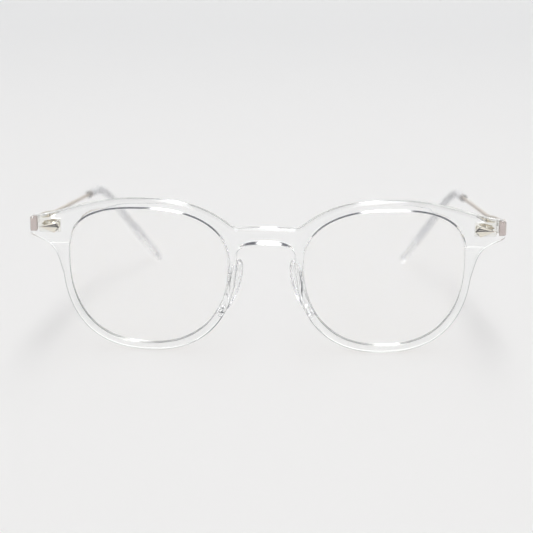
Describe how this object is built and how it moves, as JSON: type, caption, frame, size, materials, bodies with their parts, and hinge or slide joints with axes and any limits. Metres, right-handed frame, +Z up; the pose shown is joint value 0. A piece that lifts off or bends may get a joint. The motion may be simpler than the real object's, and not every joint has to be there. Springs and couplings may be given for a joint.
{
  "type": "blue light glasses",
  "caption": "Round panto glasses with a clear moulded front, bevelled lenses, and slim metal temples that fold on barrel hinges and end in clear tips.",
  "frame": {"origin": "on the table, on the plane of symmetry, half way from the front of the bridge to the end of the temple tips", "axes": "+X to the wearer's left, +Y from the front back along the open temples, +Z up"},
  "size_m": [0.1436, 0.1352, 0.0461],
  "materials": {
    "clear_front": "polished transparent moulding",
    "clear_pad": "polished transparent moulding",
    "clear_tip": "polished transparent moulding",
    "lens": "clear lens, faint yellow tint, blue-violet anti-reflection coat",
    "polished_metal": "polished champagne plating",
    "hinge_metal": "satin champagne plating",
    "arm_metal": "fine brushed champagne plating",
    "screw_steel": "turned stainless steel",
    "nylon": "natural nylon"
  },
  "bodies": {
    "front": {"front_frame": "clear_front", "lens_left": "lens", "lens_right": "lens", "nose_pad_left": "clear_pad", "nose_pad_right": "clear_pad", "rivet_stud_left": "polished_metal", "rivet_stud_right": "polished_metal", "front_hinge_left": "hinge_metal", "front_hinge_right": "hinge_metal", "hinge_screw_left": "screw_steel", "hinge_screw_right": "screw_steel", "hinge_washers_left": "nylon", "hinge_washers_right": "nylon"},
    "temple_left": {"temple_hinge_left": "hinge_metal", "end_block_left": "arm_metal", "temple_arm_left": "arm_metal", "temple_tip_left": "clear_tip"},
    "temple_right": {"temple_hinge_right": "hinge_metal", "end_block_right": "arm_metal", "temple_arm_right": "arm_metal", "temple_tip_right": "clear_tip"}
  },
  "joints": [
    {"name": "temple_left_fold", "type": "hinge", "parent": "front", "child": "temple_left", "pos_m": [0.0673, -0.05613, 0.0369], "axis": [0, 0, 1], "range_deg": [0, 80]},
    {"name": "temple_right_fold", "type": "hinge", "parent": "front", "child": "temple_right", "pos_m": [-0.0673, -0.05613, 0.0369], "axis": [0, 0, -1], "range_deg": [0, 74]}
  ]
}
